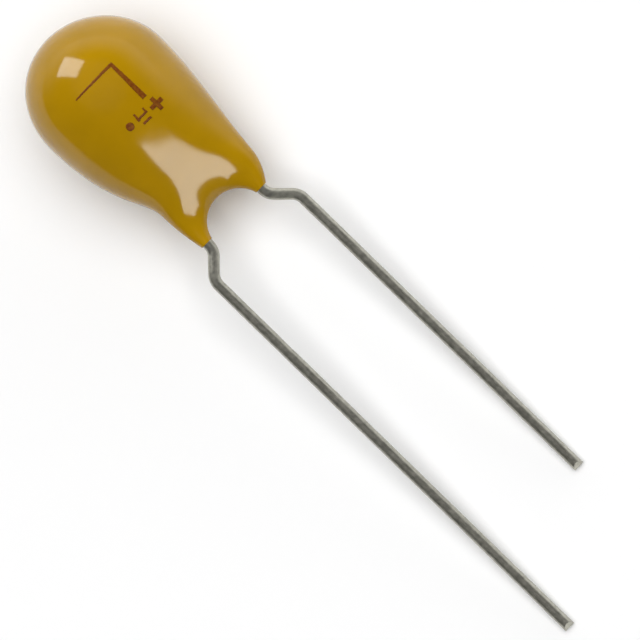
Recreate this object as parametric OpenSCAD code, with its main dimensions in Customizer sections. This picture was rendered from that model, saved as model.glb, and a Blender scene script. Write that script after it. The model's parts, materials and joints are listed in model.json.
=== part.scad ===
// Radial tantalum capacitor: a sintered anode slug with its cathode layers and
// two kinked lead wires, dipped in a resin coat that runs down onto both wires.
//
// Every piece is drawn upright first: +Z up the slug's axis, z = 0 where the
// wires leave the resin, the printed front facing -Y and the positive wire on +X.
// lie_down() then turns the whole part onto its back, touching the ground with
// its belly and both wire tips, +Z up and the crown towards +Y.

/* [Resin coat] */
// Width across the belly
body_w = 6.58; // [6.3:0.01:8]
// Depth through the belly, front to back
body_d = 6.5; // [5.9:0.01:8]
// Height from the ends of the resin legs to the crown
body_h = 10.73; // [10.4:0.01:13]
// Height of the round crown above the widest place
crown_h = 3.3; // [2.8:0.05:3.6]
// How far the belly sits off the middle of the two wires
belly_x = -0.085; // [-0.2:0.005:0.2]
// How far the top of the crown leans further off the middle
crown_lean = -0.2; // [-0.3:0.01:0.3]
// Half width of the waist above the negative wire
waist_neg = 2.14; // [2.05:0.01:2.6]
// Height of that waist
waist_neg_z = 2.1; // [1.8:0.05:2.4]
// Half width of the shoulder above that waist
shoulder_neg = 2.62; // [2.5:0.01:3]
// Height of that shoulder
shoulder_neg_z = 3.5; // [3.2:0.05:4]
// Slope of the shoulder, outwards over upwards
shoulder_neg_flare = 0.46; // [0.3:0.01:0.6]
// Half width of the waist above the positive wire
waist_pos = 2.52; // [2.2:0.01:2.8]
// Height of that waist
waist_pos_z = 1.5; // [1.3:0.05:2]
// Slope of that waist, outwards over upwards
waist_pos_flare = 0.1; // [0:0.01:0.2]
// Half depth of the neck
neck_d = 1.42; // [1.2:0.01:1.8]
// Height of the neck
neck_z = 2; // [1.7:0.05:2.3]
// Slope of the neck, outwards over upwards
neck_flare = 0.42; // [0.2:0.01:0.6]
// Radius of the arch between the two resin legs
arch_r = 1.37; // [1.2:0.01:1.38]
// Height of the arch
arch_h = 1.03; // [0.8:0.01:1.2]
// How fast the web over the arch thickens into the neck
arch_blend = 2; // [1:0.1:4]
// Thinnest resin skin on a wire, at the end of a leg
skin = 0.04; // [0.03:0.005:0.08]
// Slope of the negative leg's outer side, outwards over upwards
leg_neg_flare = 0.2; // [0.1:0.01:0.4]
// Slope of the positive leg's outer side, outwards over upwards
leg_pos_flare = 0.8; // [0.3:0.01:1]

/* [Lead wires] */
// Diameter of the wires
wire_d = 0.5; // [0.4:0.01:0.6]
// Distance between the straight runs, centre to centre
lead_pitch = 5.08; // [4.8:0.01:6.5]
// Distance between the wires where they leave the resin
leg_pitch = 3.24; // [3.2:0.01:3.6]
// Length of the positive wire below the resin
positive_len = 17.65; // [12:0.05:25]
// Length of the negative wire below the resin
negative_len = 22.05; // [12:0.05:28]
// Angle of the kink that spreads the wires
kink_angle = 45; // [35:1:60]
// Centreline radius of the kink's bends
kink_r = 0.7; // [0.5:0.05:0.8]
// Straight run between the resin and the kink
kink_drop = 0.1; // [0.05:0.05:0.5]
// Angle between each face the cutter leaves and the wire's axis
bevel_angle = 45; // [35:1:70]
// Width left flat between those two faces
bevel_flat = 0.06; // [0.02:0.01:0.12]

/* [Anode] */
// Diameter of the tantalum slug
slug_d = 4.1; // [3.2:0.05:4.3]
// Length of the slug
slug_h = 4.2; // [3:0.05:4.4]
// Height of the slug's lower face
slug_z = 4.95; // [4.9:0.05:5.4]
// Diameter of the tantalum riser wire
riser_d = 0.4; // [0.3:0.01:0.5]
// How deep the riser is sintered into the slug
riser_root = 2.4; // [1:0.1:2.8]
// Length of riser that stands out of the slug
riser_out = 2.5; // [2.2:0.05:2.6]
// Diameter of the insulating washer on the riser
washer_d = 1.5; // [1.1:0.05:2]
// Thickness of the washer
washer_t = 0.25; // [0.15:0.01:0.4]

/* [Cathode] */
// Thickness of the manganese dioxide layer
manganese_t = 0.08; // [0.05:0.01:0.1]
// Thickness of the graphite layer
graphite_t = 0.05; // [0.03:0.01:0.06]
// Thickness of the silver layer
silver_t = 0.06; // [0.04:0.01:0.08]
// Height of slug left bare of graphite at its lower end
graphite_stop = 0.3; // [0.2:0.05:0.6]
// Height of graphite left bare of silver at its lower edge
silver_stop = 0.1; // [0.05:0.05:0.3]
// Gap between the silver and the negative wire, filled with solder
solder_gap = 0.08; // [0.06:0.01:0.15]
// Thickness of the solder round the negative wire
solder_t = 0.2; // [0.15:0.01:0.24]
// Length of the solder joint
solder_h = 2.8; // [1.6:0.1:3]
// How far the solder reaches past the end of the wire
solder_over = 0.6; // [0.5:0.05:0.8]

/* [Wire ends inside the resin] */
// Angle of the bend that takes the negative wire out to the slug's side
neg_angle = 35; // [30:1:45]
// Centreline radius of that bend
neg_r = 0.6; // [0.4:0.05:0.8]
// Angle of the bend that brings the positive wire in to the riser
pos_angle = 65; // [50:1:75]
// Centreline radius of that bend
pos_r = 0.45; // [0.35:0.05:0.6]
// How deep the weld sets the riser into the positive wire
weld_depth = 0.05; // [0.02:0.01:0.1]
// Length of the lap between riser and positive wire
weld_lap = 1.1; // [0.6:0.05:1.4]
// How far the positive wire stands straight below the riser's end
weld_foot = 0.15; // [0.1:0.05:0.3]

/* [Hidden] */
$fn = 96;

MUSTARD = "#c08a1c";
TIN = "#9a978c";
TANTALUM = "#5c5f66";
SILVER = "#c9c7c0";
BLACK = "#2b2622";
GRAPHITE = "#3a3c40";
WHITE = "#f2f0ea";

// Heights and distances that follow from the sizes above
wire_r = wire_d / 2;
leg_x = leg_pitch / 2;
tip_x = lead_pitch / 2;
belly_z = body_h - crown_h;
slug_top = slug_z + slug_h;
manganese_r = slug_d / 2 + manganese_t;
manganese_z = slug_z - manganese_t;
manganese_top = slug_top + manganese_t;
graphite_r = manganese_r + graphite_t;
graphite_z = slug_z + graphite_stop;
graphite_top = manganese_top + graphite_t;
silver_r = graphite_r + silver_t;
silver_z = graphite_z + silver_stop;
silver_top = graphite_top + silver_t;
washer_z = slug_z - washer_t;
riser_z = slug_z - riser_out;
weld_x = belly_x + riser_d / 2 + wire_r - weld_depth;
solder_x = belly_x - silver_r - solder_gap - wire_r;
solder_r = wire_r + solder_t;
solder_z = (silver_z + silver_top) / 2;

// ---- Outline of the resin coat ----
// A station of an outline is [height, half size, slope]. between() is the cubic through two.
function between(z, low, high) =
    let (h = high[0] - low[0], t = (z - low[0]) / h)
    low[1] * (1 - 3 * t ^ 2 + 2 * t ^ 3) + high[1] * (3 * t ^ 2 - 2 * t ^ 3)
    + h * (low[2] * (t - 2 * t ^ 2 + t ^ 3) + high[2] * (t ^ 3 - t ^ 2));

function along(z, stations, i = 0) =
    z <= stations[i + 1][0] || i == len(stations) - 2
        ? between(z, stations[i], stations[i + 1])
        : along(z, stations, i + 1);

// Above the belly a quarter ellipse closes every outline.
function crowned(z, stations) =
    z <= belly_z ? along(z, stations)
        : stations[len(stations) - 1][1] * sqrt(max(0, 1 - ((z - belly_z) / crown_h) ^ 2));

leg_out = leg_x + wire_r + skin;
negative_side = [
    [0, leg_out, leg_neg_flare],
    [waist_neg_z, waist_neg, 0],
    [shoulder_neg_z, shoulder_neg, shoulder_neg_flare],
    [belly_z, body_w / 2 - belly_x, 0]];
positive_side = [
    [0, leg_out, leg_pos_flare],
    [waist_pos_z, waist_pos, waist_pos_flare],
    [belly_z, body_w / 2 + belly_x, 0]];
function half_width(z, side) = crowned(z, side > 0 ? positive_side : negative_side);
function mean_width(z) = (half_width(z, 1) + half_width(z, -1)) / 2;
function lean(z) = crown_lean * (max(0, z - belly_z) / crown_h) ^ 2;

// The arch is a circle cut up between the legs. Below its top, split() is the square of
// its half width. Above it split() is negative, and the two legs are one body.
arch_z = arch_h - arch_r;
function split(z) = arch_r ^ 2 - (z - arch_z) ^ 2 - arch_blend * max(0, z - arch_h) ^ 2;

// Share of the half depth that is left at x, over a section of half width a.
function thickness(x, a, mean, s) =
    sqrt(max(0, (1 - (x / a) ^ 2) * (x ^ 2 - s) / (mean ^ 2 - s)));

// The half depth is set so that a leg's end covers its wire by the skin all round and
// the middle of the belly is body_d deep.
leg_share = thickness(leg_x, leg_out, leg_out, split(0));
belly_share = thickness(0, body_w / 2, body_w / 2, split(belly_z));
depth_side = [
    [0, (wire_r + skin) / leg_share, 0],
    [neck_z, neck_d, neck_flare],
    [belly_z, body_d / 2 / belly_share, 0]];
function half_depth(z) = crowned(z, depth_side);

// A point of the coat at height z, on one side, at an angle from the front (0) round
// the flank (90) to the back (180).
function coat_point(z, side, turn) =
    let (a = half_width(z, side), s = split(z), inner = max(0, s),
         x = sqrt(inner + (a ^ 2 - inner) * sin(turn) ^ 2))
    [side * x + lean(z),
     -sign(cos(turn)) * half_depth(z) * thickness(x, a, mean_width(z), s),
     z];

// ---- Surface of the resin coat ----
// Rings run from the leg ends up: round the arch, up the body and over the crown.
arch_rings = 8;
body_rings = 17;
crown_rings = 12;
turns = 26;
ring_crowding = 1.7;
arch_start = asin(-arch_z / arch_r);
levels = [
    for (i = [0:arch_rings - 1])
        arch_z + arch_r * sin(arch_start + (90 - arch_start) * i / arch_rings),
    for (i = [0:body_rings - 1])
        arch_h + (belly_z - arch_h) * (i / body_rings) ^ ring_crowding,
    for (i = [0:crown_rings - 1])
        belly_z + crown_h * sin(90 * i / crown_rings)
];
SIDES = [1, -1];
coat_points = [
    for (z = levels) for (side = SIDES) for (k = [0:turns]) coat_point(z, side, 180 * k / turns),
    [lean(body_h), 0, body_h]
];
crown_id = len(coat_points) - 1;
top_level = len(levels) - 1;

// Number of a point. Below the arch each leg closes on itself, at the arch both legs meet
// in one point, and above it the two sides share the front and back seams.
function point_id(level, s, k) =
    let (ring = turns + 1, seam = k == 0 || k == turns)
    level < arch_rings ? (level * 2 + s) * ring + k % turns
        : level == arch_rings && seam ? level * 2 * ring
        : (level * 2 + (seam ? 0 : s)) * ring + k;

function wound(face, s) = s == 0 ? face : [face[2], face[1], face[0]];

coat_faces = [
    for (i = [0:top_level - 1]) for (s = [0, 1]) for (k = [0:turns - 1])
        let (a = point_id(i, s, k), b = point_id(i, s, k + 1),
             c = point_id(i + 1, s, k + 1), d = point_id(i + 1, s, k))
        each [wound([a, d, c], s), wound([a, c, b], s)],
    for (s = [0, 1]) for (k = [0:turns - 1])
        wound([point_id(top_level, s, k), crown_id, point_id(top_level, s, k + 1)], s),
    for (s = [0, 1]) for (k = [1:turns - 2])
        wound([point_id(0, s, 0), point_id(0, s, k), point_id(0, s, k + 1)], s)
];

// ---- Lead wires ----
// A jog shifts a wire sideways by an offset, with two bends of the same angle and radius.
function jog_run(offset, angle, r) = (offset - 2 * r * (1 - cos(angle))) / sin(angle);
function jog_height(offset, angle, r) =
    2 * r * sin(angle) + jog_run(offset, angle, r) * cos(angle);

// A bend of a wire that heads up +Z from the origin, towards +X or, if negative, -X.
module bend(angle, r)
    mirror([angle < 0 ? 1 : 0, 0, 0]) translate([r, 0, 0]) rotate([90, 0, 0])
        rotate([0, 0, 180 - abs(angle)]) rotate_extrude(angle = abs(angle))
            translate([r, 0]) circle(r = wire_r);

// A bent wire up +Z from the origin. Each step is [straight length, angle, radius].
module bent_wire(steps, i = 0) {
    run = steps[i][0];
    angle = steps[i][1];
    r = steps[i][2];
    cylinder(h = run, r = wire_r);
    if (i < len(steps) - 1)
        translate([0, 0, run]) {
            bend(angle, r);
            translate([sign(angle) * r * (1 - cos(angle)), 0, r * sin(abs(angle))])
                rotate([0, angle, 0]) bent_wire(steps, i + 1);
        }
}

// What a cutter's two jaws take off the lower end of a wire, front and back.
bevel_h = (wire_r - bevel_flat / 2) / tan(bevel_angle);
module cutter_jaws() {
    rotate([90, 0, 90]) translate([0, 0, -wire_d]) linear_extrude(2 * wire_d)
        for (side = SIDES)
            polygon([
                [side * bevel_flat / 2, -wire_d],
                [side * bevel_flat / 2, 0],
                [side * (bevel_flat / 2 + wire_d), wire_d / tan(bevel_angle)],
                [side * (bevel_flat / 2 + wire_d), -wire_d]]);
}

// A whole lead on the +X side, from its cut tip, round the kink and up a resin leg, then
// over to inner_x at the height jog_top and straight up to top.
module lead(length, inner_x, angle, r, jog_top, top) {
    spread = tip_x - leg_x;
    shift = abs(inner_x - leg_x);
    way = sign(inner_x - leg_x);
    translate([tip_x, 0, -length])
        difference() {
            bent_wire([
                [length - kink_drop - jog_height(spread, kink_angle, kink_r), -kink_angle, kink_r],
                [jog_run(spread, kink_angle, kink_r), kink_angle, kink_r],
                [kink_drop + jog_top - jog_height(shift, angle, r), way * angle, r],
                [jog_run(shift, angle, r), -way * angle, r],
                [top - jog_top, 0, 0]]);
            cutter_jaws();
        }
}

module positive_lead() color(TIN)
    difference() {
        lead(positive_len, weld_x, pos_angle, pos_r, riser_z - weld_foot, riser_z + weld_lap);
        riser_form();
    }

module negative_lead() color(TIN)
    mirror([1, 0, 0])
        lead(negative_len, -solder_x, neg_angle, neg_r, manganese_z,
             solder_z + solder_h / 2 - solder_over);

// ---- Anode ----
// A disc or rod on the slug's axis, between two heights.
module on_axis(low, high, r) translate([belly_x, 0, low]) cylinder(h = high - low, r = r);

module slug_form() on_axis(slug_z, slug_top, slug_d / 2);

module riser_form() on_axis(riser_z, slug_z + riser_root, riser_d / 2);

module washer_form() on_axis(washer_z, slug_z, washer_d / 2);

module tantalum_slug() color(TANTALUM)
    difference() {
        slug_form();
        riser_form();
    }

module riser_wire() color(TANTALUM) riser_form();

module insulating_washer() color(WHITE)
    difference() {
        washer_form();
        riser_form();
    }

// ---- Cathode ----
module manganese_form() on_axis(manganese_z, manganese_top, manganese_r);

module graphite_form() on_axis(graphite_z, graphite_top, graphite_r);

module silver_form() on_axis(silver_z, silver_top, silver_r);

// A spindle round the end of the negative wire
module solder_form() translate([solder_x, 0, solder_z])
    rotate_extrude()
        intersection() {
            scale([1, solder_h / 2 / solder_r]) circle(r = solder_r);
            translate([0, -solder_h]) square([2 * solder_r, 2 * solder_h]);
        }

module manganese_dioxide_layer() color(BLACK)
    difference() {
        manganese_form();
        slug_form();
        washer_form();
    }

module graphite_layer() color(GRAPHITE)
    difference() {
        graphite_form();
        manganese_form();
    }

module silver_layer() color(SILVER)
    difference() {
        silver_form();
        graphite_form();
    }

module solder_joint() color(SILVER)
    difference() {
        solder_form();
        silver_form();
        negative_lead();
    }

// ---- Resin coat ----
module resin_coat() color(MUSTARD)
    difference() {
        polyhedron(coat_points, coat_faces);
        manganese_form();
        graphite_form();
        silver_form();
        washer_form();
        riser_form();
        solder_form();
        positive_lead();
        negative_lead();
    }

// ---- Rest pose ----
// up_at() is the unit vector that points away from the ground. Both wires rest on the upper
// end of their cut face, which ties the sideways lean of that vector to its tilt.
positive_foot = [tip_x, 0, bevel_h - positive_len];
negative_foot = [-tip_x, 0, bevel_h - negative_len];
lean_per_tilt = (negative_foot[2] - positive_foot[2]) / lead_pitch;
function up_at(tilt) =
    let (x = lean_per_tilt * sin(tilt), z = sin(tilt))
    [x, -sqrt(1 - x ^ 2 - z ^ 2), z];
function wire_low(up) = positive_foot * up - wire_r * norm([up[0], up[1]]);
function belly_low(up) = min([for (p = coat_points) p * up]);

// The tilt at which the belly and the wires lie equally low, by halving
function level_tilt(low, high, halvings = 24) =
    let (mid = (low + high) / 2, up = up_at(mid))
    halvings == 0 ? mid
        : belly_low(up) < wire_low(up) ? level_tilt(mid, high, halvings - 1)
        : level_tilt(low, mid, halvings - 1);

up = up_at(level_tilt(0, 30));
crown_way = [0, 0, 1] - up[2] * up;
crown = crown_way / norm(crown_way);
across = cross(crown, up);
function middle(list) = (min(list) + max(list)) / 2;
middle_across = middle([for (p = coat_points) p * across]);
middle_along = middle([crown * [lean(body_h), 0, body_h], crown * [-tip_x, 0, -negative_len]]);

module lie_down()
    multmatrix([
        [across[0], across[1], across[2], -middle_across],
        [crown[0], crown[1], crown[2], -middle_along],
        [up[0], up[1], up[2], -wire_low(up)],
        [0, 0, 0, 1]])
        children();

lie_down() resin_coat();
lie_down() tantalum_slug();
lie_down() riser_wire();
lie_down() insulating_washer();
lie_down() manganese_dioxide_layer();
lie_down() graphite_layer();
lie_down() silver_layer();
lie_down() solder_joint();
lie_down() positive_lead();
lie_down() negative_lead();
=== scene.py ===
"""Looks of a resin-dipped radial tantalum capacitor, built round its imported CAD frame.

Lengths are in millimetres in the capacitor's own upright axes, and place() turns them into
the frame's metres: x runs across, towards the positive wire, y from the printed front to the
back, and z up the body, with z = 0 where the wires leave the resin.
"""

import json
import math
import random

import bpy
from mathutils import Matrix, Vector


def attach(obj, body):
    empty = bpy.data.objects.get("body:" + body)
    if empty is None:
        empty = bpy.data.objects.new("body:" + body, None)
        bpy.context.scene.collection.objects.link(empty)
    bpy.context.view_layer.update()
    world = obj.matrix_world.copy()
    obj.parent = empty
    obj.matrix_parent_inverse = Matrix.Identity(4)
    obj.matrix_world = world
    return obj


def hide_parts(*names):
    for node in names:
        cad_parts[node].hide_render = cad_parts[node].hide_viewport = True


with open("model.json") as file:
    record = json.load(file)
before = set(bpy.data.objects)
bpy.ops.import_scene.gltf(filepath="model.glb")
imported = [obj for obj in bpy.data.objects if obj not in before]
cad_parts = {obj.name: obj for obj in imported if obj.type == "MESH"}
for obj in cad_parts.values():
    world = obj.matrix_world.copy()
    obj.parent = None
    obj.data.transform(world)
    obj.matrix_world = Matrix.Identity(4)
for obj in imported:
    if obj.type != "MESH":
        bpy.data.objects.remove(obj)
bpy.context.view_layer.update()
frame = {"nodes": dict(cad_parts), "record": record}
MM = 0.001

# ---- Driving dimensions of the coat and the wires, as the CAD part has them ----
BODY_W = 6.58
BODY_D = 6.5
BODY_H = 10.729
CROWN_H = 3.3
BELLY_X = -0.085
CROWN_LEAN = -0.2
WAIST_NEG = (2.1, 2.14, 0.0)
SHOULDER_NEG = (3.5, 2.62, 0.46)
WAIST_POS = (1.5, 2.52, 0.1)
NECK = (2.0, 1.42, 0.42)
ARCH_R = 1.37
ARCH_H = 1.03
ARCH_BLEND = 2.0
SKIN = 0.04
LEG_NEG_FLARE = 0.2
LEG_POS_FLARE = 0.8
LEG_PITCH = 3.24
KINK_ANGLE = math.radians(45)
KINK_R = 0.7
KINK_DROP = 0.1
BEVEL_FLAT = 0.06

# The CAD's coat is made of flat facets, so this finer one is drawn in by a hair,
# and BODY_H is 0.001 short, to stay inside its box.
FIT_WIDTH = 0.9995
FIT_DEPTH = 0.994

# ---- Places and sizes read from the frame ----
MOUNTS = {mount["name"]: mount for mount in frame["record"]["mounts"]}
POSITIVE = MOUNTS["positive_lead"]
NEGATIVE = MOUNTS["negative_lead"]
WIRE_R = POSITIVE["dims"]["r_mm"]
UP = -Vector(POSITIVE["axis"]).normalized()
BETWEEN = (Vector(POSITIVE["pos_m"]) - Vector(NEGATIVE["pos_m"])) / MM
ACROSS = BETWEEN - BETWEEN.dot(UP) * UP
TIP_X = ACROSS.length / 2
ACROSS.normalize()
BACK = UP.cross(ACROSS)
LEG_X = LEG_PITCH / 2
BEVEL_H = WIRE_R - BEVEL_FLAT / 2
KINK_H = 2 * KINK_R * math.sin(KINK_ANGLE) + (
    TIP_X - LEG_X - 2 * KINK_R * (1 - math.cos(KINK_ANGLE))
) / math.tan(KINK_ANGLE)
STRAIGHT_Z = -KINK_DROP - KINK_H
POSITIVE_LEN = POSITIVE["dims"]["length_mm"] - STRAIGHT_Z + BEVEL_H
NEGATIVE_LEN = NEGATIVE["dims"]["length_mm"] - STRAIGHT_Z + BEVEL_H
POSITIVE_MID = STRAIGHT_Z - POSITIVE["dims"]["length_mm"] / 2
ORIGIN = Vector(POSITIVE["pos_m"]) - MM * (TIP_X * ACROSS + POSITIVE_MID * UP)


def place(point):
    """A point of the upright part, in millimetres, as a point of the frame in metres."""
    x, y, z = point
    return ORIGIN + MM * (x * ACROSS + y * BACK + z * UP)


# ---- Meshes ----
def add_mesh(name, vertices, faces, material, angle=None):
    """A smooth mesh of the upright part's points, riding on the root body.

    Edges sharper than the angle stay sharp.
    """
    mesh = bpy.data.meshes.new(name)
    mesh.from_pydata([place(v) for v in vertices], [], faces)
    mesh.validate()
    mesh.materials.append(material)
    mesh.polygons.foreach_set("use_smooth", [True] * len(mesh.polygons))
    if angle is not None:
        mesh.set_sharp_from_angle(angle=angle)
    obj = bpy.data.objects.new(name, mesh)
    bpy.context.scene.collection.objects.link(obj)
    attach(obj, "root")
    return obj


# ---- The resin coat's form ----
BELLY_Z = BODY_H - CROWN_H
LEG_OUT = LEG_X + WIRE_R + SKIN
ARCH_Z = ARCH_H - ARCH_R
RING_CROWDING = 1.7


def between(z, low, high):
    """The cubic through two stations (height, half size, slope)."""
    h = high[0] - low[0]
    t = (z - low[0]) / h
    return (
        low[1] * (1 - 3 * t**2 + 2 * t**3)
        + high[1] * (3 * t**2 - 2 * t**3)
        + h * (low[2] * (t - 2 * t**2 + t**3) + high[2] * (t**3 - t**2))
    )


def outline(z, stations):
    """Half size at a height, closed above the belly by a quarter ellipse."""
    if z > BELLY_Z:
        rise = min(1.0, (z - BELLY_Z) / CROWN_H)
        return stations[-1][1] * math.sqrt(1 - rise**2)
    for low, high in zip(stations, stations[1:]):
        if z <= high[0]:
            return between(z, low, high)
    return stations[-1][1]


def split(z):
    """Square of the arch's half width below its top, and negative above it."""
    return ARCH_R**2 - (z - ARCH_Z) ** 2 - ARCH_BLEND * max(0.0, z - ARCH_H) ** 2


def thickness(x, a, mean, s):
    """Share of the half depth that is left at x, over a section of half width a."""
    return math.sqrt(max(0.0, (1 - (x / a) ** 2) * (x**2 - s) / (mean**2 - s)))


NEGATIVE_SIDE = [
    (0.0, LEG_OUT, LEG_NEG_FLARE),
    WAIST_NEG,
    SHOULDER_NEG,
    (BELLY_Z, BODY_W / 2 - BELLY_X, 0.0),
]
POSITIVE_SIDE = [
    (0.0, LEG_OUT, LEG_POS_FLARE),
    WAIST_POS,
    (BELLY_Z, BODY_W / 2 + BELLY_X, 0.0),
]
DEPTH = [
    (0.0, (WIRE_R + SKIN) / thickness(LEG_X, LEG_OUT, LEG_OUT, split(0.0)), 0.0),
    NECK,
    (BELLY_Z, BODY_D / 2 / thickness(0.0, BODY_W / 2, BODY_W / 2, split(BELLY_Z)), 0.0),
]


def half_width(z, side):
    return FIT_WIDTH * outline(z, POSITIVE_SIDE if side > 0 else NEGATIVE_SIDE)


def lean(z):
    """How far the crown leans sideways at a height."""
    return CROWN_LEAN * (max(0.0, z - BELLY_Z) / CROWN_H) ** 2


def coat_depth(x, z):
    """Half depth of the coat at a place on the front, lean left out."""
    side = 1 if x > 0 else -1
    a = half_width(z, side)
    mean = (half_width(z, 1) + half_width(z, -1)) / 2
    return FIT_DEPTH * outline(z, DEPTH) * thickness(min(abs(x), a), a, mean, split(z))


def coat_point(z, side, turn):
    """A point of the coat at an angle from the front (0) round the flank to the back (pi)."""
    a = half_width(z, side)
    inner = max(0.0, split(z))
    x = side * math.sqrt(inner + (a**2 - inner) * math.sin(turn) ** 2)
    front = 1 if math.cos(turn) > 0 else -1
    return (x + lean(z), -front * coat_depth(x, z), z)


def coat_mesh(arch_rings=24, body_rings=70, crown_rings=40, turns=72):
    """Vertices and faces of the whole coat: two legs, one body and a closed crown."""
    start = math.asin(-ARCH_Z / ARCH_R)
    levels = [
        ARCH_Z + ARCH_R * math.sin(start + (math.pi / 2 - start) * i / arch_rings)
        for i in range(arch_rings)
    ]
    levels += [
        ARCH_H + (BELLY_Z - ARCH_H) * (i / body_rings) ** RING_CROWDING
        for i in range(body_rings)
    ]
    levels += [
        BELLY_Z + CROWN_H * math.sin(math.pi / 2 * i / crown_rings)
        for i in range(crown_rings)
    ]
    vertices = []
    ids = {}
    for i, z in enumerate(levels):
        for s, side in enumerate((1, -1)):
            for k in range(turns + 1):
                seam = k in (0, turns)
                if i < arch_rings:
                    key = (i, s, k % turns)
                elif i == arch_rings and seam:
                    key = (i, 0, 0)
                else:
                    key = (i, 0 if seam else s, k)
                if key not in ids:
                    ids[key] = len(vertices)
                    vertices.append(coat_point(z, side, math.pi * k / turns))
                ids[(i, s, k)] = ids[key]
    crown = len(vertices)
    vertices.append((lean(BODY_H), 0.0, BODY_H))
    faces = []
    for s in (0, 1):
        order = 1 if s == 0 else -1
        for i in range(len(levels) - 1):
            for k in range(turns):
                corner_keys = [(i, s, k), (i + 1, s, k), (i + 1, s, k + 1), (i, s, k + 1)]
                loop = [ids[key] for key in corner_keys]
                corners = [v for n, v in enumerate(loop) if v != loop[n - 1]]
                faces.append(corners[::order])
        top = len(levels) - 1
        for k in range(turns):
            faces.append([ids[(top, s, k)], crown, ids[(top, s, k + 1)]][::order])
        faces.append([ids[(0, s, k)] for k in range(turns)][::order])
    return vertices, faces


# ---- The wires' form ----
SLUG_Z = 4.95
SLUG_H = 4.2
SLUG_R = 2.05
RISER_R = 0.2
RISER_OUT = 2.5
WELD_DEPTH = 0.05
WELD_FOOT = 0.15
WELD_LAP = 1.1
MANGANESE_T = 0.08
GRAPHITE_T = 0.05
SILVER_T = 0.06
LAYERS_T = MANGANESE_T + GRAPHITE_T + SILVER_T
SILVER_FOOT = 0.4
SOLDER_GAP = 0.08
SOLDER_H = 2.8
SOLDER_OVER = 0.6
RISER_Z = SLUG_Z - RISER_OUT
WELD_X = BELLY_X + RISER_R + WIRE_R - WELD_DEPTH
SOLDER_X = BELLY_X - SLUG_R - LAYERS_T - SOLDER_GAP - WIRE_R
SOLDER_JOG_Z = SLUG_Z - MANGANESE_T
SOLDER_Z = (SLUG_Z + SILVER_FOOT + SLUG_Z + SLUG_H + LAYERS_T) / 2
SOLDER_WIRE_TOP = SOLDER_Z + SOLDER_H / 2 - SOLDER_OVER
POS_BEND = (math.radians(65), 0.45)
NEG_BEND = (math.radians(35), 0.6)
TIP_RINGS = 4
TIP_RING_STEP = 0.01


def jog_run(offset, angle, r):
    """Straight length between the two bends of a sideways jog."""
    return (offset - 2 * r * (1 - math.cos(angle))) / math.sin(angle)


def jog_height(offset, angle, r):
    """Height of a sideways jog along the wire."""
    return 2 * r * math.sin(angle) + jog_run(offset, angle, r) * math.cos(angle)


def lead_steps(length, inner_x, angle, r, jog_top, top):
    """A lead on the +x side as steps of (straight length, bend angle, bend radius)."""
    spread = TIP_X - LEG_X
    shift = abs(inner_x - LEG_X)
    way = 1 if inner_x > LEG_X else -1
    return [
        (length - KINK_DROP - jog_height(spread, KINK_ANGLE, KINK_R), -KINK_ANGLE, KINK_R),
        (jog_run(spread, KINK_ANGLE, KINK_R), KINK_ANGLE, KINK_R),
        (KINK_DROP + jog_top - jog_height(shift, angle, r), way * angle, r),
        (jog_run(shift, angle, r), -way * angle, r),
        (top - jog_top, 0.0, 0.0),
    ]


def wire_path(start, steps, spacing=0.12, bend_step=math.radians(4)):
    """Points (x, z) and headings of a bent wire; heading 0 is +z and positive is towards +x."""
    x, z = start
    heading = 0.0
    path = [(x, z, heading)]
    for run, angle, r in steps:
        count = max(1, round(run / spacing))
        for _ in range(count):
            x += run / count * math.sin(heading)
            z += run / count * math.cos(heading)
            path.append((x, z, heading))
        count = math.ceil(abs(angle) / bend_step - 1e-9)
        for _ in range(count):
            turn = angle / count
            chord = 2 * r * math.sin(abs(turn) / 2)
            heading += turn / 2
            x += chord * math.sin(heading)
            z += chord * math.cos(heading)
            heading += turn / 2
            path.append((x, z, heading))
    return path


def bevel(y):
    """Height of the cut tip above its edge, at y from the wire's middle."""
    return max(0.0, abs(y) - BEVEL_FLAT / 2)


def lead_mesh(length, side, steps, dents, sides=40):
    """Vertices and faces of a lead: a swept round wire, cut by two jaws at its tip.

    A dent is (distance from the resin, angle round the wire, reach, depth).
    """
    path = wire_path((TIP_X, -length), steps)
    vertices = []
    for n, (x, z, heading) in enumerate(path):
        for k in range(sides):
            phi = 2 * math.pi * k / sides
            r = WIRE_R
            for down, round_, reach, depth in dents:
                along = (-z - down) / reach
                about = math.remainder(phi - round_, 2 * math.pi) * WIRE_R / reach
                r -= depth * math.exp(-(along**2 + about**2))
            out = r * math.cos(phi)
            y = r * math.sin(phi)
            vx = x + out * math.cos(heading)
            vz = z - out * math.sin(heading)
            if n < TIP_RINGS:
                vz = max(vz, bevel(y) - length + TIP_RING_STEP * n)
            vertices.append((side * vx, y, vz))
    faces = []
    for n in range(len(path) - 1):
        for k in range(sides):
            j = (k + 1) % sides
            loop = [n * sides + k, n * sides + j, (n + 1) * sides + j, (n + 1) * sides + k]
            faces.append(loop[::side])
    for k in range(sides // 4, sides // 2 + sides // 4):
        mirror = [(sides // 2 - k) % sides, (sides // 2 - k - 1) % sides]
        loop = [k, mirror[0], mirror[1], (k + 1) % sides]
        corners = [v for n, v in enumerate(loop) if v != loop[n - 1]]
        if len(corners) > 2:
            faces.append(corners[::side])
    last = (len(path) - 1) * sides
    faces.append([last + k for k in range(sides)][::side])
    return vertices, faces


# ---- Printed marks ----
INK_PROUD = 0.005
INK_DEEP = 0.012


def on_front(x, z):
    """A point of the ink's face, just in front of the coat's printed side."""
    return (x, -coat_depth(x - lean(z), z) - INK_PROUD, z)


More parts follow.
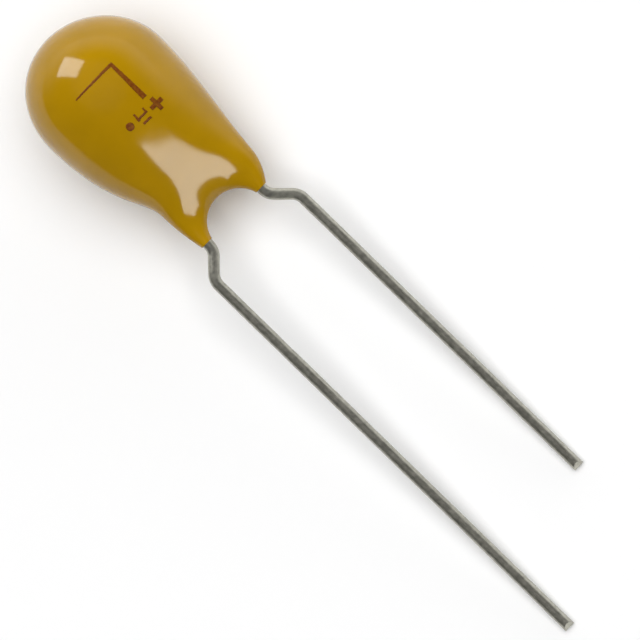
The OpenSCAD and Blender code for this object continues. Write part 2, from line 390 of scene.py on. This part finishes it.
def stroke(start, end, widths, rng, rough=0.008, step=0.04):
    """Grid points of a printed bar, with a slightly rough edge."""
    sx, sz = start
    ex, ez = end
    length = math.hypot(ex - sx, ez - sz)
    dx, dz = (ex - sx) / length, (ez - sz) / length
    count = max(2, round(length / step))
    across = max(2, round(max(widths) / step))
    rows = []
    for i in range(count + 1):
        t = i / count
        half = (widths[0] + (widths[1] - widths[0]) * t) / 2
        low = -half + rng.uniform(-rough, rough)
        high = half + rng.uniform(-rough, rough)
        nudge = rng.uniform(-rough, rough) if i in (0, count) else 0.0
        row = []
        for j in range(across + 1):
            offset = low + (high - low) * j / across
            along = t * length + nudge
            row.append((sx + dx * along - dz * offset, sz + dz * along + dx * offset))
        rows.append(row)
    return rows


def film(name, grids):
    """One ink film from grids of points on the print, a few micrometres proud of the coat."""
    vertices = []
    faces = []
    for rows in grids:
        base = len(vertices)
        width = len(rows[0])
        vertices += [on_front(x, z) for row in rows for x, z in row]
        for i in range(len(rows) - 1):
            for j in range(width - 1):
                a = base + i * width + j
                faces.append([a, a + 1, a + width + 1, a + width])
    obj = add_mesh(name, vertices, faces, INK)
    thick = obj.modifiers.new("thickness", "SOLIDIFY")
    thick.thickness = INK_DEEP * MM
    thick.offset = -1


def disc(centre, radius, rng, rings=4, sides=28, rough=0.01):
    """Grid points of a printed dot, ring by ring from its middle."""
    edge = [radius + rng.uniform(-rough, rough) for _ in range(sides)]
    rows = []
    for i in range(rings + 1):
        row = []
        for k in range(sides + 1):
            angle = 2 * math.pi * (k % sides) / sides
            r = max(0.02, i / rings) * edge[k % sides]
            row.append((centre[0] + r * math.cos(angle), centre[1] + r * math.sin(angle)))
        rows.append(row)
    return rows


# ---- Materials ----
def material(name, colour, roughness, metallic=0.0, specular=0.5):
    """A Principled material and its shader node."""
    mat = bpy.data.materials.new(name)
    mat.use_nodes = True
    shader = mat.node_tree.nodes["Principled BSDF"]
    shader.inputs["Base Color"].default_value = (*colour, 1)
    shader.inputs["Roughness"].default_value = roughness
    shader.inputs["Metallic"].default_value = metallic
    shader.inputs["Specular IOR Level"].default_value = specular
    return mat, shader


def noise(mat, size_mm, detail=3.0, rough=0.55):
    """A noise texture's factor, with features of about that size on the object."""
    nodes, links = mat.node_tree.nodes, mat.node_tree.links
    place_node = nodes.new("ShaderNodeTexCoord")
    texture = nodes.new("ShaderNodeTexNoise")
    texture.inputs["Scale"].default_value = 1 / (size_mm * MM)
    texture.inputs["Detail"].default_value = detail
    texture.inputs["Roughness"].default_value = rough
    links.new(place_node.outputs["Object"], texture.inputs["Vector"])
    return texture.outputs["Fac"]


def ramp(mat, factor, stops):
    """A colour ramp over a factor; stops are (position, colour)."""
    node = mat.node_tree.nodes.new("ShaderNodeValToRGB")
    while len(node.color_ramp.elements) < len(stops):
        node.color_ramp.elements.new(0.5)
    for element, (position, colour) in zip(node.color_ramp.elements, stops):
        element.position = position
        element.color = (*colour, 1)
    mat.node_tree.links.new(factor, node.inputs["Fac"])
    return node.outputs["Color"]


def spread(mat, factor, low, high):
    """Maps a factor's usual run, 0.3 to 0.7, to low and high."""
    node = mat.node_tree.nodes.new("ShaderNodeMapRange")
    node.inputs["From Min"].default_value = 0.3
    node.inputs["From Max"].default_value = 0.7
    node.inputs["To Min"].default_value = low
    node.inputs["To Max"].default_value = high
    mat.node_tree.links.new(factor, node.inputs["Value"])
    return node.outputs["Result"]


def bump(mat, shader, heights):
    """Chains bumps of (factor, height in mm) into the shader's normal."""
    nodes, links = mat.node_tree.nodes, mat.node_tree.links
    last = None
    for factor, height in heights:
        node = nodes.new("ShaderNodeBump")
        node.inputs["Strength"].default_value = 1.0
        node.inputs["Distance"].default_value = height * MM
        links.new(factor, node.inputs["Height"])
        if last is not None:
            links.new(last, node.inputs["Normal"])
        last = node.outputs["Normal"]
    links.new(last, shader.inputs["Normal"])


def tint(colour, factor):
    return tuple(min(1.0, channel * factor) for channel in colour)


def speckled(name, colour, roughness, metallic, size_mm, contrast, height_mm):
    """A material whose colour, roughness and relief vary with one noise."""
    mat, shader = material(name, colour, roughness, metallic)
    grain = noise(mat, size_mm, detail=5.0)
    shades = [(0.3, tint(colour, 1 - contrast)), (0.7, tint(colour, 1 + contrast))]
    mat.node_tree.links.new(ramp(mat, grain, shades), shader.inputs["Base Color"])
    rough = spread(mat, grain, roughness * 0.85, roughness * 1.15)
    mat.node_tree.links.new(rough, shader.inputs["Roughness"])
    bump(mat, shader, [(grain, height_mm)])
    return mat


def resin_material():
    """Glossy mustard epoxy with a faint cloudiness and orange peel."""
    colour = (0.4, 0.218, 0.0012)
    mat, shader = material("mustard_epoxy", colour, 0.1, specular=0.3)
    cloud = noise(mat, 1.6, detail=4.0)
    shades = [(0.25, tint(colour, 0.93)), (0.75, tint(colour, 1.06))]
    mat.node_tree.links.new(ramp(mat, cloud, shades), shader.inputs["Base Color"])
    peel = noise(mat, 0.35, detail=2.0)
    swell = noise(mat, 1.8, detail=1.0)
    mat.node_tree.links.new(spread(mat, peel, 0.09, 0.13), shader.inputs["Roughness"])
    bump(mat, shader, [(swell, 0.012), (peel, 0.0012)])
    return mat


def wire_material():
    """Tinned wire, dull grey with drawn streaks and small scuffs."""
    colour = (0.4, 0.39, 0.335)
    mat, shader = material("tinned_wire", colour, 0.36, metallic=0.85)
    scuff = noise(mat, 0.22, detail=6.0, rough=0.65)
    shades = [(0.3, tint(colour, 0.75)), (0.5, colour), (0.72, tint(colour, 1.3))]
    mat.node_tree.links.new(ramp(mat, scuff, shades), shader.inputs["Base Color"])
    mat.node_tree.links.new(spread(mat, scuff, 0.28, 0.44), shader.inputs["Roughness"])
    bump(mat, shader, [(scuff, 0.004)])
    return mat


def ink_material():
    """Brown pad-printed ink that thins out in places."""
    colour = (0.17, 0.038, 0.001)
    mat, shader = material("brown_ink", colour, 0.4, specular=0.12)
    patch = noise(mat, 0.12, detail=3.0)
    shades = [(0.35, tint(colour, 0.85)), (0.7, (0.22, 0.07, 0.002))]
    mat.node_tree.links.new(ramp(mat, patch, shades), shader.inputs["Base Color"])
    mat.node_tree.links.new(spread(mat, patch, 0.35, 0.5), shader.inputs["Roughness"])
    return mat


RESIN = resin_material()
WIRE = wire_material()
INK = ink_material()
# Each row is (material, colour, roughness, metallic, grain in mm, contrast, relief in mm).
NODE_LOOKS = {
    "tantalum_slug": (
        "sintered_tantalum", (0.1, 0.105, 0.12), 0.75, 0.6, 0.12, 0.35, 0.02,
    ),
    "riser_wire": ("tantalum_wire", (0.2, 0.2, 0.22), 0.4, 0.9, 0.2, 0.15, 0.003),
    "insulating_washer": ("ptfe", (0.82, 0.82, 0.8), 0.5, 0.0, 0.3, 0.04, 0.004),
    "manganese_dioxide_layer": (
        "manganese_dioxide", (0.02, 0.017, 0.015), 0.7, 0.0, 0.1, 0.3, 0.01,
    ),
    "graphite_layer": ("graphite", (0.04, 0.042, 0.046), 0.45, 0.2, 0.15, 0.25, 0.006),
    "silver_layer": ("silver_paint", (0.62, 0.6, 0.56), 0.42, 0.8, 0.18, 0.1, 0.006),
    "solder_joint": ("solder", (0.5, 0.5, 0.49), 0.3, 0.9, 0.4, 0.12, 0.008),
}
for node, look in NODE_LOOKS.items():
    mesh = frame["nodes"][node].data
    mesh.materials.clear()
    mesh.materials.append(speckled(*look))

# ---- Pieces ----
vertices, faces = coat_mesh()
coat = add_mesh("resin_coat_skin", vertices, faces, RESIN, angle=math.radians(50))
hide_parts("resin_coat")

# A lead's row is (length, side, steps, dents), and the dents are those that lead_mesh() takes.
LEADS = {
    "positive": (
        POSITIVE_LEN,
        1,
        lead_steps(POSITIVE_LEN, WELD_X, *POS_BEND, RISER_Z - WELD_FOOT, RISER_Z + WELD_LAP),
        [(7.2, 4.9, 0.35, 0.012)],
    ),
    "negative": (
        NEGATIVE_LEN,
        -1,
        lead_steps(NEGATIVE_LEN, -SOLDER_X, *NEG_BEND, SOLDER_JOG_Z, SOLDER_WIRE_TOP),
        [
            (5.3, 4.4, 0.4, 0.02),
            (6.0, 5.0, 0.25, 0.014),
            (10.5, 4.6, 0.35, 0.018),
            (11.4, 5.1, 0.3, 0.014),
        ],
    ),
}
for pole, (length, side, steps, dents) in LEADS.items():
    vertices, faces = lead_mesh(length, side, steps, dents)
    lead = add_mesh(pole + "_lead_wire", vertices, faces, WIRE, angle=math.radians(35))
    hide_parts(pole + "_lead")

# The polarity bar is an L: a thin arm across and a thick arm down to the plus sign.
CORNER_X, CORNER_Z = 0.91, 7.88
THIN_ARM = 2.07
THIN_WIDTHS = (0.06, 0.13)
THIN_SHORT = 0.03
THICK_ARM = 1.93
THICK_WIDTHS = (0.14, 0.23)
THICK_PAST = 0.06
PLUS_X, PLUS_Z = 1.07, 5.44
PLUS_ARM = 0.315
PLUS_WIDTH = 0.18
PLUS_HUB = PLUS_WIDTH / 2
DOT = (-0.38, 5.54)
DOT_R = 0.175
# Beside the dot are two level bars, and the upper one has an upright at each end.
BAR_X, BAR_Z = 0.08, 5.5
BAR_LENGTH = 0.44
BAR_WIDTH = 0.09
LOWER_SHIFT = 0.01
LOWER_DROP = 0.27
LOWER_SLOPE = 0.01
LOWER_WIDTH = 0.1
LEFT_RISE = 0.28
LEFT_DROP = 0.08
LEFT_LEAN = 0.02
LEFT_WIDTHS = (0.08, 0.12)
RIGHT_RISE = 0.22
RIGHT_DROP = 0.04
RIGHT_LEAN = 0.01
RIGHT_WIDTHS = (0.07, 0.11)

rng = random.Random(4)
thin_ends = ((CORNER_X - THIN_ARM, CORNER_Z), (CORNER_X - THIN_SHORT, CORNER_Z))
thick_ends = ((CORNER_X, CORNER_Z + THICK_PAST), (CORNER_X, CORNER_Z - THICK_ARM))
film(
    "ink_polarity_bar",
    [stroke(*thin_ends, THIN_WIDTHS, rng), stroke(*thick_ends, THICK_WIDTHS, rng)],
)
plus_bars = [
    ((PLUS_X - PLUS_ARM, PLUS_Z), (PLUS_X - PLUS_HUB, PLUS_Z)),
    ((PLUS_X, PLUS_Z + PLUS_ARM), (PLUS_X, PLUS_Z - PLUS_ARM)),
    ((PLUS_X + PLUS_HUB, PLUS_Z), (PLUS_X + PLUS_ARM, PLUS_Z)),
]
film("ink_plus", [stroke(*ends, (PLUS_WIDTH, PLUS_WIDTH), rng) for ends in plus_bars])
film("ink_dot", [disc(DOT, DOT_R, rng)])
bar_end = BAR_X + BAR_LENGTH
lower_x, lower_z = BAR_X + LOWER_SHIFT, BAR_Z - LOWER_DROP
small_bars = [
    ((BAR_X, BAR_Z), (bar_end, BAR_Z), (BAR_WIDTH, BAR_WIDTH)),
    (
        (lower_x, lower_z),
        (lower_x + BAR_LENGTH, lower_z - LOWER_SLOPE),
        (LOWER_WIDTH, LOWER_WIDTH),
    ),
    ((BAR_X, BAR_Z + LEFT_RISE), (BAR_X - LEFT_LEAN, BAR_Z - LEFT_DROP), LEFT_WIDTHS),
    ((bar_end + RIGHT_LEAN, BAR_Z + RIGHT_RISE), (bar_end, BAR_Z - RIGHT_DROP), RIGHT_WIDTHS),
]
film("ink_bars", [stroke(*bar, rng) for bar in small_bars])


# ---- Floor, light and camera ----
FLOOR_SIZE = 6
FLOOR_WHITE = 0.93
WORLD_DIM = 0.04
# Each fade is (from, to, strength before, strength after).
WORLD_FADE_UP = (0.1, 0.65, 1.0, 0.0)
WORLD_FADE_ROUND = (-0.2, 0.8, 0.05, 1.5)
PANEL_DISTANCE = 0.35
PANEL_RADIANCE = 10.0
# Each panel is (azimuth, elevation, roll, width, height), the last two per unit of distance.
PANELS = {
    "crown_softbox": (97, 37.5, 23, 0.44, 0.58),
    "leads_softbox": (-88.5, 24.4, -14, 0.49, 0.36),
}
SUN_STRENGTH = 3.0
SUN_SPREAD = math.radians(70)
SUN_FROM = (50, 82)
CAMERA_LENS = 270
CAMERA_DISTANCE = 0.20055
CAMERA_TARGET = (-0.63, 0, -5.62)
WIRES_BELOW = math.radians(44.22)


def build_floor():
    """A wide white floor that the capacitor lies on."""
    bpy.ops.mesh.primitive_plane_add(size=FLOOR_SIZE, location=(0, 0, 0))
    floor = bpy.context.object
    floor.name = "floor"
    mat, shader = material("floor_white", (FLOOR_WHITE,) * 3, 0.9, specular=0.0)
    floor.data.materials.append(mat)


def build_world():
    """Dim overhead, and white low down on the side of the crown and the positive wire."""
    world = bpy.data.worlds.new("studio")
    bpy.context.scene.world = world
    world.use_nodes = True
    nodes, links = world.node_tree.nodes, world.node_tree.links
    direction = nodes.new("ShaderNodeTexCoord")
    parts = nodes.new("ShaderNodeSeparateXYZ")
    links.new(direction.outputs["Generated"], parts.inputs["Vector"])
    facing = nodes.new("ShaderNodeVectorMath")
    facing.operation = "DOT_PRODUCT"
    facing.inputs[1].default_value = (ACROSS + UP).normalized()
    links.new(direction.outputs["Generated"], facing.inputs[0])
    glow = nodes.new("ShaderNodeMath")
    glow.operation = "MULTIPLY"
    fades = [
        (parts.outputs["Z"], *WORLD_FADE_UP),
        (facing.outputs["Value"], *WORLD_FADE_ROUND),
    ]
    for i, (value, low, high, at_low, at_high) in enumerate(fades):
        fade = nodes.new("ShaderNodeMapRange")
        fade.interpolation_type = "SMOOTHSTEP"
        fade.inputs["From Min"].default_value = low
        fade.inputs["From Max"].default_value = high
        fade.inputs["To Min"].default_value = at_low
        fade.inputs["To Max"].default_value = at_high
        links.new(value, fade.inputs["Value"])
        links.new(fade.outputs["Result"], glow.inputs[i])
    strength = nodes.new("ShaderNodeMath")
    strength.operation = "ADD"
    strength.inputs[1].default_value = WORLD_DIM
    links.new(glow.outputs["Value"], strength.inputs[0])
    links.new(strength.outputs["Value"], nodes["Background"].inputs["Strength"])
    nodes["Background"].inputs["Color"].default_value = (1, 1, 1, 1)


def from_angles(azimuth, elevation):
    """A direction from the object, azimuth turned from +X towards +Y, in degrees."""
    a, e = math.radians(azimuth), math.radians(elevation)
    return Vector((math.cos(e) * math.cos(a), math.cos(e) * math.sin(a), math.sin(e)))


def softbox(name, azimuth, elevation, roll, width, height):
    """A rectangular panel that faces the body and is seen only in its reflections."""
    lamp = bpy.data.lights.new(name, "AREA")
    lamp.shape = "RECTANGLE"
    lamp.size = width * PANEL_DISTANCE
    lamp.size_y = height * PANEL_DISTANCE
    lamp.energy = PANEL_RADIANCE * math.pi * lamp.size * lamp.size_y
    obj = bpy.data.objects.new(name, lamp)
    bpy.context.scene.collection.objects.link(obj)
    out = from_angles(azimuth, elevation)
    level = Vector((0, 0, 1)).cross(out).normalized()
    turn = Matrix((level, out.cross(level), out)).transposed().to_4x4()
    centre = place((0, 0, BODY_H / 2)) + out * PANEL_DISTANCE
    rolled = turn @ Matrix.Rotation(math.radians(roll), 4, "Z")
    obj.matrix_world = Matrix.Translation(centre) @ rolled
    obj.visible_diffuse = False


def build_lights():
    """The panels, and a broad overhead light that leaves no reflection of its own."""
    for name, panel in PANELS.items():
        softbox(name, *panel)
    sun = bpy.data.lights.new("overhead", "SUN")
    sun.energy = SUN_STRENGTH
    sun.angle = SUN_SPREAD
    obj = bpy.data.objects.new("overhead", sun)
    bpy.context.scene.collection.objects.link(obj)
    obj.rotation_euler = (-from_angles(*SUN_FROM)).to_track_quat("-Z", "Y").to_euler()
    obj.visible_glossy = False


def build_camera():
    """Looks straight at the plane of the two wires, with the wires running down to the right."""
    right = math.sin(WIRES_BELOW) * ACROSS - math.cos(WIRES_BELOW) * UP
    up = math.cos(WIRES_BELOW) * ACROSS + math.sin(WIRES_BELOW) * UP
    camera = bpy.data.cameras.new("camera")
    camera.lens = CAMERA_LENS
    camera.sensor_width = 36
    camera.clip_start = 0.005
    camera.clip_end = 20
    obj = bpy.data.objects.new("camera", camera)
    bpy.context.scene.collection.objects.link(obj)
    turn = Matrix((right, up, -BACK)).transposed().to_4x4()
    eye = place(CAMERA_TARGET) - BACK * CAMERA_DISTANCE
    obj.matrix_world = Matrix.Translation(eye) @ turn
    bpy.context.scene.camera = obj


build_floor()
build_world()
build_lights()
build_camera()
bpy.context.scene.view_settings.view_transform = "Standard"
